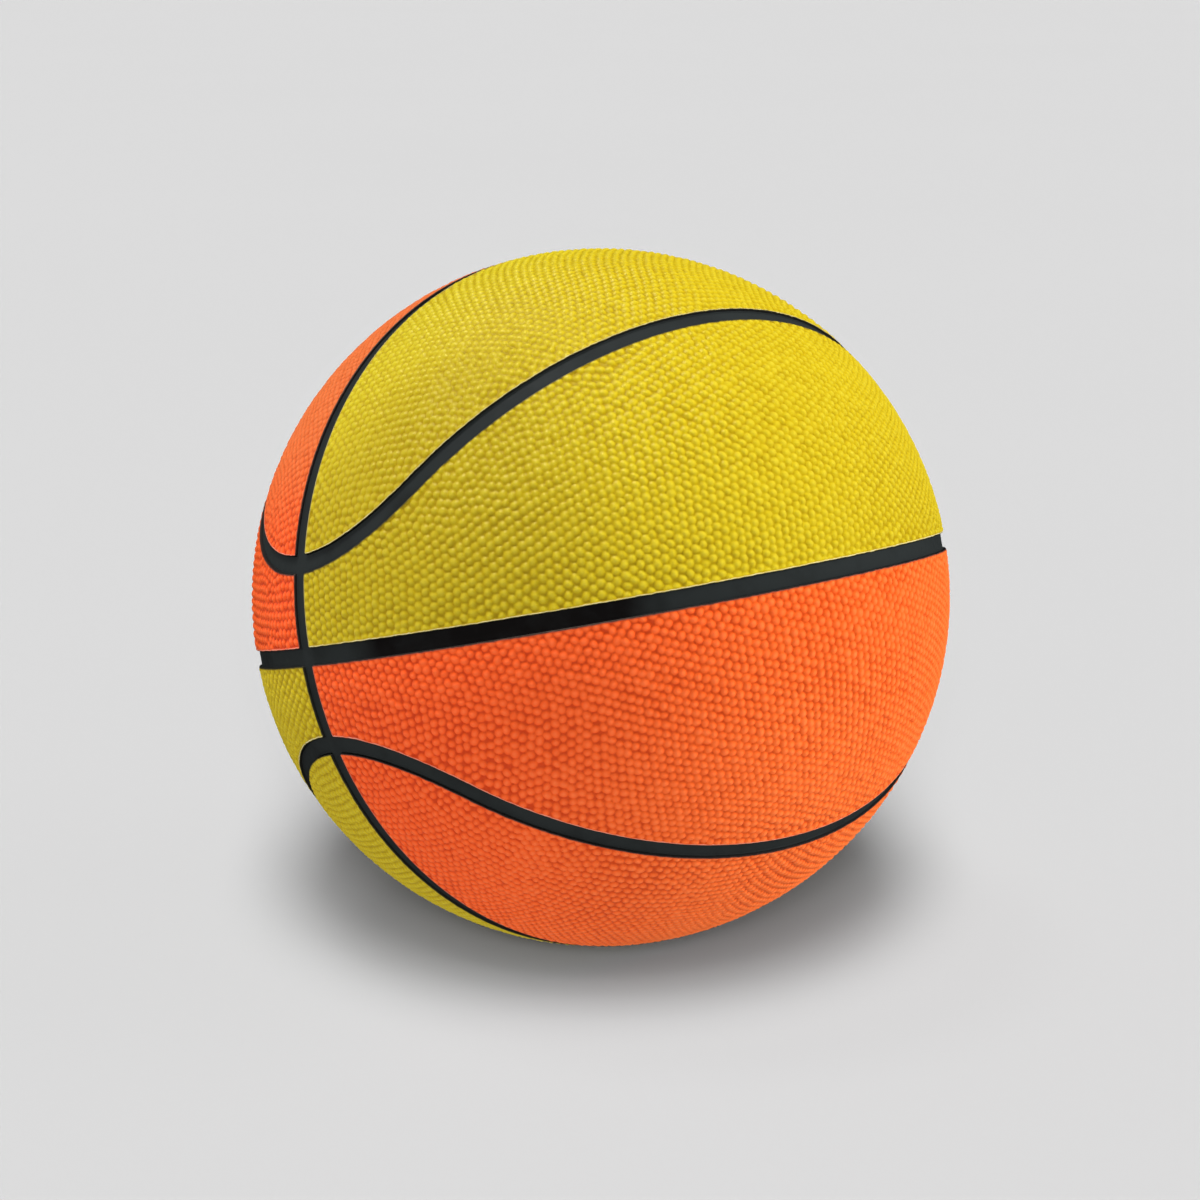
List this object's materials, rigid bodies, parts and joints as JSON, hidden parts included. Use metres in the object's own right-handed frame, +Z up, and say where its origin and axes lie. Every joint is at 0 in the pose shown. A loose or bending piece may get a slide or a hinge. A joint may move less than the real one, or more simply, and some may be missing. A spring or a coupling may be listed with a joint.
{
  "type": "basketball",
  "caption": "Air-filled rubber basketball with pebbled yellow and orange cover panels between black channels, a thread-wound bladder and a self-closing needle valve.",
  "frame": {"origin": "centre of the ball", "axes": "+Z up as the ball rests on its lowest point, +Y outward along the valve's axis, -Y the front, +X to the right seen from the front"},
  "size_m": [0.2398, 0.2398, 0.24],
  "materials": {
    "yellow_panels": "satin, pebbled",
    "orange_panels": "satin, pebbled",
    "channel_rubber": "satin",
    "winding_thread": "matte, wound thread",
    "bladder_rubber": "matte",
    "valve_rubber": "satin"
  },
  "bodies": {
    "root": {"front_upper_band_panel": "yellow_panels", "front_upper_cap_panel": "yellow_panels", "front_lower_band_panel": "orange_panels", "front_lower_cap_panel": "orange_panels", "rear_upper_band_panel": "orange_panels", "rear_upper_cap_panel": "orange_panels", "rear_lower_band_panel": "yellow_panels", "rear_lower_cap_panel": "yellow_panels", "carcass": "channel_rubber", "nylon_winding": "winding_thread", "bladder": "bladder_rubber", "bladder_patch": "bladder_rubber", "valve_housing": "valve_rubber", "valve_core": "valve_rubber"}
  },
  "joints": []
}
